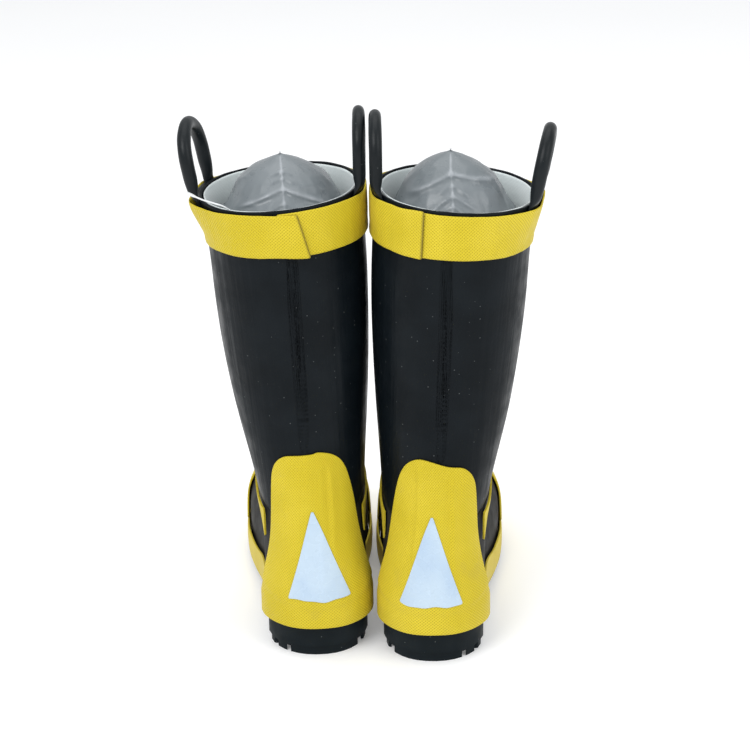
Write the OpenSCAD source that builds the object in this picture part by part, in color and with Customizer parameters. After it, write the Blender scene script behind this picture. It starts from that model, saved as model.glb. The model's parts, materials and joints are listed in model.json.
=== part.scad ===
// A pair of pull-on fire boots with yellow trim, standing side by side with the toes toward +Y.
// The origin is on the ground in the middle of the pair. Units are millimetres.
// Each piece is drawn once, as the right boot, and mirrored for the left boot.

/* [Stance] */
// Distance between the backs of the two heels
heel_spacing = 84.5; // [84.5:0.5:160]
// Angle that each toe turns outward, in degrees
toe_out = 4; // [4:1:12]
// How far the right boot stands behind the left boot
stagger = 14; // [0:1:40]

/* [Boot] */
// Length of the upper from heel to toe
foot_length = 297; // [280:1:310]
// Width of the upper across the ball of the foot
ball_width = 104; // [96:1:105]
// Height of the rim above the ground
rim_height = 362; // [320:1:400]

/* [Layers] */
// Thickness of the black rubber wall
rubber_wall = 2.2; // [1.6:0.1:2.6]
// Thickness of the canvas lining
canvas = 1.2; // [0.8:0.1:1.4]
// Thickness of the yellow trim
trim = 1.6; // [1:0.1:2.2]

/* [Sole] */
// Height of the heel block under the heel
heel_height = 27; // [24:1:28]
// Depth of the grooves in the tread
tread_depth = 5; // [3:0.5:6]
// Width of the grooves in the tread
groove_w = 4; // [3:0.5:6]

/* [Trim] */
// Height of the yellow band below the rim
band_height = 36; // [24:1:45]
// Height of the top of the heel counter above the ground
counter_top = 167; // [150:1:175]
// Height of the reflective triangle
reflector_h = 71; // [50:1:74]
// Width of the reflective triangle along its lower edge
reflector_w = 41; // [36:1:50]

/* [Pull loops] */
// Diameter of the rubber cord that forms a loop
loop_cord = 10; // [8:0.5:11]
// Outer width of a loop
loop_width = 60; // [48:1:66]
// Height of a loop above the rim
loop_height = 56; // [48:1:70]
// Outward lean of the outer loops, in degrees
outer_loop_lean = 11; // [0:1:20]
// How far in front of the middle of the side the left boot's outer loop sits, in degrees
left_loop_turn = 12; // [0:1:24]
// How far behind the middle of the side the right boot's outer loop sits, in degrees
right_loop_turn = 5; // [0:1:12]

/* [Stuffing bag] */
// Height of the bag above the rim
bag_rise = 27; // [15:1:30]
// Height of the whole bag
bag_height = 130; // [100:5:150]

/* [Hidden] */

black = "#22282c";
yellow = "#ddc53a";
silver = "#d6e8f8";
canvas_white = "#d3d8d6";
steel = "#9aa0a5";
film = "#a0a5aa";

// Clearance left between two layers that are glued together
gap = 0.5;
// Height above which the leg stretches with rim_height
ankle_height = 150;
length_scale = foot_length / 297;
width_scale = ball_width / 104;
leg_scale = (rim_height - ankle_height) / 210;

// The skin is a row of rings. It runs down the leg, turns around the heel and goes on to the toe.
// Each ring is a squared-off ellipse in a plane that holds the X direction. Its row gives:
// the rear point (y, z), the front point (y, z), the outer and inner half widths, where the ring
// is widest between rear and front, how square its rear and front are, and its sideways shift.
RINGS = [
    [4, 360, 134, 362, 61.3, 61.3, 0.5, 2.1, 2.1, 19.3],
    [6, 326, 132, 329, 59.4, 59.4, 0.5, 2.1, 2.1, 14.8],
    [9, 286, 130, 290, 59.4, 59.4, 0.5, 2.1, 2.1, 13],
    [12, 238, 127, 246, 57, 57, 0.5, 2.1, 2.1, 10.6],
    [14, 190, 124, 204, 52.6, 52.6, 0.5, 2.1, 2.1, 8],
    [13.5, 150, 125, 172, 47.5, 47.5, 0.5, 2.1, 2.1, 5.2],
    [10, 114, 131, 152, 43.2, 43.2, 0.48, 2.1, 2.1, 2.6],
    [5, 80, 139, 137, 42, 40.5, 0.42, 2.1, 2.1, 1],
    [2, 50, 147, 126, 42, 40, 0.36, 2.2, 2.1, 0],
    [3.5, 33, 154, 117, 41.8, 39.7, 0.31, 2.6, 2.1, 0],
    [22, 28, 162, 109, 41, 39, 0.3, 5, 2.1, 0],
    [50, 27, 170, 102, 40, 37.7, 0.3, 7, 2.1, 0],
    [85, 23.5, 180, 97, 39.6, 37, 0.32, 7, 2.1, 0],
    [120, 17.5, 192, 91, 43.6, 41.2, 0.34, 7, 2.1, 0],
    [155, 14, 206, 86, 48.9, 47.6, 0.36, 7, 2.2, 0],
    [188, 13, 224, 81, 52.2, 51.8, 0.38, 7, 2.3, 0],
    [220, 14, 243, 76, 50.5, 51, 0.4, 7, 2.4, -0.5],
    [248, 16.5, 261, 71, 44.7, 46.5, 0.42, 6, 2.5, -1.5],
    [270, 19.5, 276, 64.5, 36.8, 38.5, 0.45, 4.5, 2.5, -3],
    [284, 23, 286.5, 57, 26.5, 29, 0.48, 3, 2.4, -4],
    [292.5, 27, 293.4, 48.5, 16.5, 18, 0.5, 2.3, 2.2, -4.5],
    [296, 33, 296.3, 40, 5.5, 6, 0.5, 2, 2, -5]
];
LAST = len(RINGS) - 1;
// Rings where the shaft meets the vamp, and where the toe guard starts
SEAM = 6.2;
GUARD = 15.2;
// Lower edge of the instep saddle: an angle, and the ring that the saddle reaches there. The tip of
// its wing is at -25 degrees.
SADDLE_EDGE = [
    [-29, 6.42], [-27, 6.75], [-25, 7.1], [-23, 6.8], [-20, 6.52], [-12, 6.44], [2, 6.5], [15, 6.9],
    [26, 7.8], [38, 9.5], [48, 12], [56, 14.3], [66, 15.1], [78, 15.1], [90, 15.1]
];

band_bottom = rim_height - band_height;
reflector_bottom = heel_height + 23;
bag_top = rim_height + bag_rise;
loop_r = loop_cord / 2;
// Middle of the pair, measured forward from the back of the left heel
pair_middle = (foot_length - stagger) / 2;

// A smooth curve through four evenly spaced values, at t from b (0) to c (1)
function catmull(a, b, c, d, t) =
    (2 * b + (c - a) * t + (2 * a - 5 * b + 4 * c - d) * t * t + (3 * b - a - 3 * c + d) * t * t * t) / 2;

function ring_row(k) = RINGS[min(max(k, 0), LAST)];

function ring(s) =
    let (k = min(floor(s), LAST - 1))
    catmull(ring_row(k - 1), ring_row(k), ring_row(k + 1), ring_row(k + 2), s - k);

function leg_z(z) = z < ankle_height ? z : ankle_height + (z - ankle_height) * leg_scale;

function clamp(v) = min(max(v, 0), 1);

function squared(c, n) = sign(c) * pow(abs(c), 2 / n);

// How much the rim tips down toward the outer side
function tilt(s) = 0.07 * clamp(1 - s / 5);

// A point of the skin: s is the ring, a the angle around it (0 outer side, 90 front, 180 inner side,
// 270 rear), and d the distance outside the skin
function skin(s, a, d = 0) =
    let (
        row = ring(s),
        rear = [length_scale * row[0], leg_z(row[1])],
        span = [length_scale * row[2], leg_z(row[3])] - rear,
        long = norm(span),
        behind = sin(a) < 0,
        power = behind ? row[7] : row[8],
        across = (width_scale * (cos(a) > 0 ? row[4] : row[5]) + d) * squared(cos(a), power),
        reach = long * (behind ? row[6] : 1 - row[6]) + d * (behind ? slant(s, span / long) : 1),
        along = reach * squared(sin(a), power),
        p = rear + span * (row[6] + along / long)
    )
    [row[9] + across, p[0] + d * clamp((s - 16) / 5), p[1] - across * tilt(s)];

// A ring's plane leans to the upright back of the boot and to its flat underside, so a distance d
// measured square to either of them is longer when measured within the ring
function slant(s, direction) =
    let (under = clamp(s - 9))
    (1 - under) / direction[0] + under / direction[1];

// The ring at which the rear or side of the skin passes height z
function ring_at(a, z, low = 0, high = 14, k = 14) =
    let (middle = (low + high) / 2)
    k == 0 ? middle
        : skin(middle, a)[2] > z ? ring_at(a, z, middle, high, k - 1)
        : ring_at(a, z, low, middle, k - 1);

// The angle at which the outer side of ring s passes height z
function angle_at(s, z, low = -80, high = 80, k = 12) =
    let (middle = (low + high) / 2)
    k == 0 ? middle
        : skin(s, middle)[2] < z ? angle_at(s, z, middle, high, k - 1)
        : angle_at(s, z, low, middle, k - 1);

function steps(low, high, count) = [for (i = [0:count]) low + (high - low) * i / count];

function flat(rows) = [for (row = rows) for (p = row) p];

function ring_points(s, d, sides) = [for (j = [0:sides - 1]) skin(s, 360 * j / sides, d)];

// Two triangles between row r and the next one, for the columns j and k
function quad(base, columns, r, j, k, flip) =
    let (
        a = base + r * columns + j,
        b = base + r * columns + k,
        c = base + (r + 1) * columns + k,
        d = base + (r + 1) * columns + j
    )
    flip ? [[a, c, b], [a, d, c]] : [[a, b, c], [a, c, d]];

// A closed sheet between an outer and an inner grid of points. A loop joins its last column to its
// first, and a tip closes the last row at one point.
module sheet(outer, inner, loop = false, tip = []) {
    rows = len(outer);
    columns = len(outer[0]);
    total = rows * columns;
    last = loop ? columns - 1 : columns - 2;
    end = (rows - 1) * columns;
    walls = [
        for (j = [0:last])
            let (k = (j + 1) % columns)
            each [[k, j, total + j], [k, total + j, total + k]],
        if (!loop)
            for (r = [0:rows - 2])
                let (a = r * columns, b = a + columns, c = a + columns - 1, d = b + columns - 1)
                each [
                    [a, b, total + b], [a, total + b, total + a],
                    [d, c, total + c], [d, total + c, total + d]
                ],
        for (j = [0:last])
            let (a = end + j, b = end + (j + 1) % columns)
            each len(tip) > 0
                ? [[a, b, 2 * total], [total + b, total + a, 2 * total + 1]]
                : [[a, b, total + b], [a, total + b, total + a]]
    ];
    faces = [
        for (r = [0:rows - 2])
            for (j = [0:last])
                let (k = (j + 1) % columns)
                each concat(quad(0, columns, r, j, k, false), quad(total, columns, r, j, k, true))
    ];
    polyhedron(concat(flat(outer), flat(inner), tip), concat(faces, walls), convexity = 8);
}

// The outline of the foot seen from above, at distance d outside the skin. Outlines well inside
// the skin stop at an earlier ring, before the toe grows too narrow for them.
function foot_outline(d, last = LAST) =
    concat(
        [for (a = [195:10:345]) let (p = skin(ring_at(a, 48), a, d)) [p[0], p[1]]],
        side_outline(1, d, last),
        reversed(side_outline(-1, d, last))
    );

function side_outline(side, d, last) =
    [for (s = steps(10.8, last, 22)) let (p = foot_side(s, side, d)) [p[0], p[1]]];

// The outer (1) or inner (-1) edge of the foot at ring s, a little above its underside
function foot_side(s, side, d) =
    let (a = angle_at(s, ring(s)[1] + 10))
    skin(s, side > 0 ? a : 180 - a, d);

function reversed(list) = [for (i = [len(list) - 1:-1:0]) list[i]];

// The foot outline, swept from the side profile's lower edge to its upper edge
module sole_slab(d, profile) {
    intersection() {
        linear_extrude(60) polygon(foot_outline(d));
        translate([-80, 0, 0])
            rotate([90, 0, 90])
                linear_extrude(160) polygon(profile);
    }
}

// The line where the foot's underside lies, lifted by z
function underside(z) =
    [for (s = steps(10, LAST, 22)) let (row = ring(s)) [length_scale * row[0], row[1] + z]];

module boot_at(side) {
    translate([side * heel_spacing / 2, (side > 0 ? -stagger : 0) - pair_middle, 0])
        mirror([side > 0 ? 0 : 1, 0, 0])
            rotate([0, 0, -toe_out])
                children();
}

// Black rubber tube of the leg, from the rim to the ankle seam
module shaft() {
    rings = steps(0, SEAM, 9);
    color(black)
        sheet(
            [for (s = rings) ring_points(s, 0, 32)],
            [for (s = rings) ring_points(s, -rubber_wall, 32)],
            loop = true
        );
}

// Black rubber foot, closed at the toe and open at the ankle
module vamp() {
    rings = steps(SEAM + 0.06, LAST, 20);
    outer = -gap;
    inner = outer - rubber_wall;
    color(black)
        sheet(
            [for (s = rings) ring_points(s, outer, 28)],
            [for (s = rings) ring_points(s, inner, 28)],
            loop = true,
            tip = [tip_point(outer), tip_point(inner)]
        );
}

function tip_point(d) =
    let (a = skin(LAST, 0, d), b = skin(LAST, 180, d))
    (a + b) / 2 + [0, 0.3 + d * 0.2, 0];

// Canvas sock inside the boot. It draws in below the ankle to clear the stiffener and the toe cap.
module lining() {
    rings = concat(steps(0.04, 5, 5), steps(5.7, LAST - 0.6, 16));
    color(canvas_white)
        sheet(
            [for (s = rings) ring_points(s, lining_d(s), 20)],
            [for (s = rings) ring_points(s, lining_d(s) - canvas, 20)],
            loop = true,
            tip = [lining_tip(0), lining_tip(-canvas)]
        );
}

function lining_d(s) = -rubber_wall - 2 * gap - 4 * clamp(s - 5);

function lining_tip(d) =
    let (s = LAST - 0.6, a = skin(s, 0, lining_d(s) + d), b = skin(s, 180, lining_d(s) + d))
    (a + b) / 2 + [0, 0.8 + d * 0.2, 0];

// Stiff inner cup that holds the heel between the vamp and the lining
module heel_stiffener() {
    angles = steps(205, 335, 10);
    heights = steps(118, 46, 6);
    outer = -rubber_wall - 3 * gap;
    color("tan")
        sheet(
            [for (z = heights) [for (a = angles) skin(ring_at(a, z), a, outer)]],
            [for (z = heights) [for (a = angles) skin(ring_at(a, z), a, outer - 1.4)]]
        );
}

// Steel cap between the vamp and the lining, over the toes
module toe_cap() {
    rings = steps(16, LAST - 0.8, 7);
    outer = -rubber_wall - 3 * gap;
    color(steel)
        sheet(
            [for (s = rings) [for (a = steps(-20, 200, 12)) skin(s, a, outer)]],
            [for (s = rings) [for (a = steps(-20, 200, 12)) skin(s, a, outer - 1.6)]]
        );
}

// Black outsole with a heel block, a waist and a lugged tread
module outsole() {
    top = -0.9;
    sole_top = concat([[-10, heel_height + 0.1]], underside(top), [[foot_length + 10, 29]]);
    color(black)
        difference() {
            union() {
                sole_slab(-0.4, concat(
                    [
                        [foot_length + 10, 19], [foot_length, 17], [270, 12], [225, 8], [130, 8],
                        [108, 13], [94, 15], [84, 8], [-10, 8]
                    ],
                    sole_top
                ));
                sole_slab(-2.4, [
                    [-10, 0], [80, 0], [85, 9], [-10, 9]
                ]);
                sole_slab(-2.4, [
                    [132, 0], [225, 0], [262, 4], [foot_length + 10, 13], [foot_length + 10, 18],
                    [262, 11.5], [225, 9], [124, 9]
                ]);
            }
            tread_grooves();
        }
}

module tread_grooves() {
    for (y = [16:17:67])
        groove(y, 0, 60);
    for (side = [-1, 1])
        translate([side > 0 ? 24 : -32, -20, -1])
            cube([groove_w * 0.7, 120, tread_depth + 1]);
    for (y = [146:17:248])
        groove(y, y > 225 ? (y - 225) * 0.1 : 0, 80);
}

// Two half grooves that meet in a shallow V
module groove(y, z, reach) {
    for (side = [-1, 1])
        translate([0, y, z])
            rotate([0, 0, side * 14])
                translate([side > 0 ? -1 : 1 - reach, -groove_w / 2, -5])
                    cube([reach, groove_w, tread_depth + 5]);
}

// Flat layers that lie inside the lining's lower half, one on another, from toe to heel
function layer_profile(low, high) = concat(
    reversed(inner_floor(low)),
    inner_floor(high)
);

function inner_floor(z) =
    [for (s = steps(9.6, 19.4, 14)) let (row = ring(s)) [length_scale * row[0], row[1] + z]];

module inner_layer(d, low, high) {
    intersection() {
        linear_extrude(70) polygon(foot_outline(d, 19));
        translate([-80, 0, 0])
            rotate([90, 0, 90])
                linear_extrude(160) polygon(layer_profile(low, high));
    }
}

// Thin steel sheet against nails, under the lining
module midsole_plate() {
    color(steel)
        inner_layer(-16, 3.7, 4.2);
}

// Fibre board that the upper is pulled over
module insole_board() {
    color("sienna")
        inner_layer(-16, 4.5, 6.2);
}

// Loose insole on top of the lining
module insole() {
    color("dimgray")
        inner_layer(-18, 10.6, 13.4);
}

// Yellow fabric-faced band around the rim. It stands out a little over the loop anchors.
module top_band() {
    rings = steps(0.07, ring_at(270, band_bottom), 4);
    color(yellow)
        sheet(
            [for (s = rings) [for (a = [0:10:350]) skin(s, a, band_d(a, s) + trim)]],
            [for (s = rings) [for (a = [0:10:350]) skin(s, a, band_d(a, s))]],
            loop = true
        );
}

function band_d(a, s) = gap + 1.6 * pow(abs(cos(a)), 3) * clamp(1.3 - s);

// Yellow heel counter: a rounded panel up the back, with a skirt that flares over the sole
module heel_counter() {
    angles = concat([190], steps(198, 342, 24), [350]);
    color(yellow)
        sheet(
            [for (r = steps(0, 1, 9)) [for (a = angles) counter_point(a, r, gap + trim)]],
            [for (r = steps(0, 1, 9)) [for (a = angles) counter_point(a, r, gap)]]
        );
}

// The upper edge of the counter, by the angle from the middle of the back
function counter_edge(from_back) =
    lookup(from_back, [
        [0, counter_top], [18, counter_top - 0.7], [26, counter_top - 4], [32.5, counter_top - 10.5],
        [38, counter_top - 22.5], [42, counter_top - 37], [46, counter_top - 51], [50, 103],
        [54, 92], [60, 78], [64, 70], [68, 61.5], [74, 51], [80, 44]
    ]);

function counter_point(a, r, d) =
    counter_level(a, counter_edge(abs(a - 270)) * (1 - r) + (heel_height - 1) * r, d);

// A point over the heel at height z. Below 48 mm the skin turns under, but this goes straight down.
function counter_level(a, z, d) =
    let (
        widening = clamp((90 - z) / 34),
        flare = 2.4 * widening * widening * (3 - 2 * widening),
        p = skin(ring_at(a, max(z, 48)), a, d + flare)
    )
    [p[0], p[1], z];

// Reflective triangle on the back of the counter
module heel_reflector() {
    half_angle = asin(reflector_w / 2 / 41);
    outer = gap * 2 + trim;
    color(silver)
        sheet(
            [for (r = steps(0, 1, 6)) reflector_row(r, half_angle, outer + 0.6)],
            [for (r = steps(0, 1, 6)) reflector_row(r, half_angle, outer)]
        );
}

function reflector_row(r, half_angle, d) =
    [for (c = steps(-1, 1, 6)) reflector_point(r, c * half_angle, d)];

// The lower edge rises toward the corners, and the sides run up to a narrow apex
function reflector_point(r, from_back, d) =
    let (
        width = 0.03 + 0.97 * r,
        low = reflector_bottom + 1.5 * pow(abs(from_back) / 30, 2),
        z = (reflector_bottom + reflector_h) * (1 - r) + low * r
    )
    counter_level(270 + from_back * width, z, d);

// Yellow strip around the foot over the joint of upper and sole, open where the counter stands
module foxing_band() {
    color(yellow)
        sheet(
            [for (r = steps(0, 1, 3)) foxing_row(r, gap + 0.6 + trim + (r > 0.2 && r < 0.9 ? 0.5 : 0))],
            [for (r = steps(0, 1, 3)) foxing_row(r, gap + 0.6)]
        );
}

function foxing_row(r, d) =
    let (stops = concat(steps(10.02, 17.3, 9), steps(17.8, LAST, 9)))
    concat(
        [for (s = stops) foxing_point(s, 1, r, d)],
        [for (s = reversed(stops)) foxing_point(s, -1, r, d)]
    );

function foxing_top(y) =
    lookup(y, [[60, 45], [90, 40], [126, 36], [138, 29], [200, 27], [262, 29], [300, 34]]);

function foxing_bottom(y) =
    lookup(y, [[60, 25], [88, 20], [120, 11], [150, 7], [225, 7], [300, 15]]);

function foxing_point(s, side, r, d) =
    let (p = foot_side(s, side, d), y = p[1] / length_scale)
    [p[0], p[1], foxing_top(y) * (1 - r) + foxing_bottom(y) * r];

// Yellow cap over the toes, down to the foxing band and closed at the tip of the foot
module toe_guard() {
    color(yellow)
        sheet(guard_rows(gap + trim), guard_rows(gap));
}

function guard_rows(d) =
    let (
        rows = [for (s = concat(steps(GUARD, 18, 4), steps(18.8, LAST, 4))) guard_row(s, d)],
        edge = rows[len(rows) - 1],
        foot = (edge[0] + edge[len(edge) - 1]) / 2
    )
    concat(rows, [[for (p = edge) foot + (p - foot) * 0.1]]);

function guard_row(s, d) =
    let (low = min(angle_at(s, foxing_top(skin(s, 0)[1] / length_scale) + 1.6), 50))
    [for (a = steps(low, 180 - low, 18)) skin(s, a, d)];

// Yellow saddle over the instep. On each side it runs back to a point that hangs down the ankle.
module instep_saddle() {
    color(yellow)
        sheet(
            [for (r = steps(0, 1, 12)) saddle_row(r, gap + trim)],
            [for (r = steps(0, 1, 12)) saddle_row(r, gap)]
        );
}

function saddle_row(r, d) =
    let (
        start = SEAM + 0.12,
        near = [for (edge = SADDLE_EDGE) skin(start + (edge[1] - start) * r, edge[0], d)],
        far = [for (edge = SADDLE_EDGE) skin(start + (edge[1] - start) * r, 180 - edge[0], d)],
        count = len(SADDLE_EDGE)
    )
    concat(near, [for (k = [count - 2:-1:0]) far[k]]);

// Low rubber strip over the seam up the back of the shaft
module back_seam() {
    rings = steps(ring_at(270, band_bottom - 2), ring_at(270, counter_top + 3), 6);
    color(black)
        sheet(
            [for (s = rings) [for (a = steps(265.5, 274.5, 2)) skin(s, a, gap + 0.5)]],
            [for (s = rings) [for (a = steps(265.5, 274.5, 2)) skin(s, a, gap * 0.4)]]
        );
}

// Flat rubber tabs under the band that hold the feet of the loops
module loop_anchors(outer_around) {
    rings = steps(0.02, 0.6, 2);
    color(black)
        for (middle = [outer_around, 180 + toe_out])
            sheet(
                [for (s = rings) [for (a = steps(middle - 26, middle + 26, 6)) skin(s, a, anchor_d(a, s))]],
                [for (s = rings) [for (a = steps(middle - 26, middle + 26, 6)) skin(s, a, 0.3)]]
            );
}

function anchor_d(a, s) = max(band_d(a, s) - 0.3, 0.35);

// One pull loop: a round cord bent into an arch, on two rolled feet that lie along its hinge line.
// It stands at an angle around the rim, facing outward, and leans out. The inner loops of the pair
// face each other.
module pull_loop(around, lean) {
    half = loop_width / 2 - loop_r;
    straight = loop_height - half - 2 * loop_r - 0.6;
    color(black)
        translate(loop_foot(around))
            rotate([0, 0, around])
                rotate([0, lean, 0]) {
                    translate([0, 0, straight])
                        rotate([90, 0, 90])
                            rotate_extrude(angle = 180, $fn = 48)
                                translate([half, 0])
                                    circle(r = loop_r, $fn = 24);
                    for (end = [-1, 1])
                        translate([0, end * half, 0]) {
                            cylinder(h = straight, r = loop_r, $fn = 24);
                            rotate([90, 0, 0])
                                cylinder(h = 2 * loop_r + 2, r = loop_r, center = true, $fn = 24);
                        }
                }
}

// The middle of a loop's hinge line, just over the edge of the shaft
function loop_foot(around) =
    let (p = skin(0, around, -rubber_wall / 2))
    [p[0], p[1], p[2] + loop_r + 0.6];

// Film bag with paper in it that keeps the shaft open, with a ridge across its top
module stuffing_bag() {
    bottom = bag_top - bag_height;
    low = ring_at(0, bottom);
    body = steps(0.9, low, 4);
    cap = [for (k = [0:5]) bag_ring(k / 5)];
    color(film)
        solid_loft(concat(cap, [for (s = body) ring_points(s, bag_d(s), 24)], [
            [for (p = ring_points(low, -24, 24)) p - [0, 0, 6]]
        ]));
}

function bag_d(s) = -rubber_wall - canvas - 6 - 2 * s;

// One ring of the bag's peaked top, from the ridge (0) to just below the rim (1)
function bag_ring(t) =
    let (middle = (skin(0.5, 90) + skin(0.5, 270)) / 2, size = 0.12 + 0.88 * pow(t, 0.75))
    [for (p = ring_points(0.5 - 0.12 * (1 - t), bag_d(0.5), 24))
        let (q = middle + (p - middle) * size)
        [q[0], q[1], p[2] * t + bag_top * (1 - t) - 9 * (1 - t) * pow(abs(q[1] - middle[1]) / 60, 2)]];

// A solid through a stack of rings, closed flat at both ends
module solid_loft(rings) {
    columns = len(rings[0]);
    top = [for (j = [1:columns - 2]) [0, j + 1, j]];
    end = (len(rings) - 1) * columns;
    bottom = [for (j = [1:columns - 2]) [end, end + j, end + j + 1]];
    sides = [
        for (r = [0:len(rings) - 2])
            for (j = [0:columns - 1])
                each quad(0, columns, r, j, (j + 1) % columns, false)
    ];
    polyhedron(flat(rings), concat(top, sides, bottom), convexity = 4);
}

// Thin tie over the rim, with a small paddle at its free end
module tag_tie() {
    path = [[46, 26, 350], [49, 23, 358.5], [57, 21, 361.5], [66, 22, 364], [76, 25, 367]];
    lift = [0, 0, rim_height - 360];
    color("whitesmoke") {
        for (i = [0:len(path) - 2])
            hull() {
                translate(path[i] + lift + [6, 0, 0]) sphere(r = 0.6, $fn = 10);
                translate(path[i + 1] + lift + [6, 0, 0]) sphere(r = 0.6, $fn = 10);
            }
        translate(path[4] + lift + [5.5, -1.8, -0.7]) cube([8, 3.6, 1.4]);
    }
}

boot_at(-1) shaft();  // left_shaft
boot_at(-1) vamp();  // left_vamp
boot_at(-1) lining();  // left_lining
boot_at(-1) outsole();  // left_outsole
boot_at(-1) midsole_plate();  // left_midsole_plate
boot_at(-1) insole_board();  // left_insole_board
boot_at(-1) insole();  // left_insole
boot_at(-1) toe_cap();  // left_toe_cap
boot_at(-1) heel_stiffener();  // left_heel_stiffener
boot_at(-1) top_band();  // left_top_band
boot_at(-1) heel_counter();  // left_heel_counter
boot_at(-1) heel_reflector();  // left_heel_reflector
boot_at(-1) foxing_band();  // left_foxing_band
boot_at(-1) toe_guard();  // left_toe_guard
boot_at(-1) instep_saddle();  // left_instep_saddle
boot_at(-1) back_seam();  // left_back_seam
boot_at(-1) loop_anchors(left_loop_turn);  // left_loop_anchors
boot_at(-1) pull_loop(left_loop_turn, outer_loop_lean);  // left_outer_loop
boot_at(-1) pull_loop(180 + toe_out, 0);  // left_inner_loop
boot_at(-1) stuffing_bag();  // left_stuffing_bag
boot_at(-1) tag_tie();  // left_tag_tie
boot_at(1) shaft();  // right_shaft
boot_at(1) vamp();  // right_vamp
boot_at(1) lining();  // right_lining
boot_at(1) outsole();  // right_outsole
boot_at(1) midsole_plate();  // right_midsole_plate
boot_at(1) insole_board();  // right_insole_board
boot_at(1) insole();  // right_insole
boot_at(1) toe_cap();  // right_toe_cap
boot_at(1) heel_stiffener();  // right_heel_stiffener
boot_at(1) top_band();  // right_top_band
boot_at(1) heel_counter();  // right_heel_counter
boot_at(1) heel_reflector();  // right_heel_reflector
boot_at(1) foxing_band();  // right_foxing_band
boot_at(1) toe_guard();  // right_toe_guard
boot_at(1) instep_saddle();  // right_instep_saddle
boot_at(1) back_seam();  // right_back_seam
boot_at(1) loop_anchors(-right_loop_turn);  // right_loop_anchors
boot_at(1) pull_loop(-right_loop_turn, outer_loop_lean);  // right_outer_loop
boot_at(1) pull_loop(180 + toe_out, 0);  // right_inner_loop
boot_at(1) stuffing_bag();  // right_stuffing_bag
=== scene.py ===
"""Looks for a pair of fire boots: rubber, yellow trim, pull loops and stuffing bags."""

import json
import math

import bmesh
import bpy
import numpy as np
from mathutils import Euler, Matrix, Quaternion, Vector, noise
from mathutils.bvhtree import BVHTree


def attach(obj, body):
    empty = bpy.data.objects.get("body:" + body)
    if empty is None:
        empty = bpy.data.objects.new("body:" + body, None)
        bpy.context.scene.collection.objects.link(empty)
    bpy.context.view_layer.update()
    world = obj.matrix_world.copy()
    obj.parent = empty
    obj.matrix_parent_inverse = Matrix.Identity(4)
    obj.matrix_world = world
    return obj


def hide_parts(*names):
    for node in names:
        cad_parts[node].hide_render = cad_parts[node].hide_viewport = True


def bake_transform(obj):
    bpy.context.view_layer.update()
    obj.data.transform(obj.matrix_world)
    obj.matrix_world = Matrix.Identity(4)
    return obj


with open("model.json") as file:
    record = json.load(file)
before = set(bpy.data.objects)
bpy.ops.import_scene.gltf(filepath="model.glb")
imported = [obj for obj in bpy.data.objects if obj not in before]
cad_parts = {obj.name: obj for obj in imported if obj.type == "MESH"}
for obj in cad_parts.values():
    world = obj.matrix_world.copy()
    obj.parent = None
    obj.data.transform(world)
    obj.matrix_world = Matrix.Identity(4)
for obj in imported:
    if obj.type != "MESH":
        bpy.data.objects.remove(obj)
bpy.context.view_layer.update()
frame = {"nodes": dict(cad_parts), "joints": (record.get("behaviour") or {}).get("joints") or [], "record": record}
NODES = frame["nodes"]
RECORD = frame["record"]
JOINTS = {j["name"]: j for j in frame["joints"]}
MM = 0.001
UV_SCALE = 10.0  # one unit of the "surface" UV map is 100 mm
TOE_OUT = math.radians(4)  # how far each boot turns outward


# ---------- materials


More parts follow.
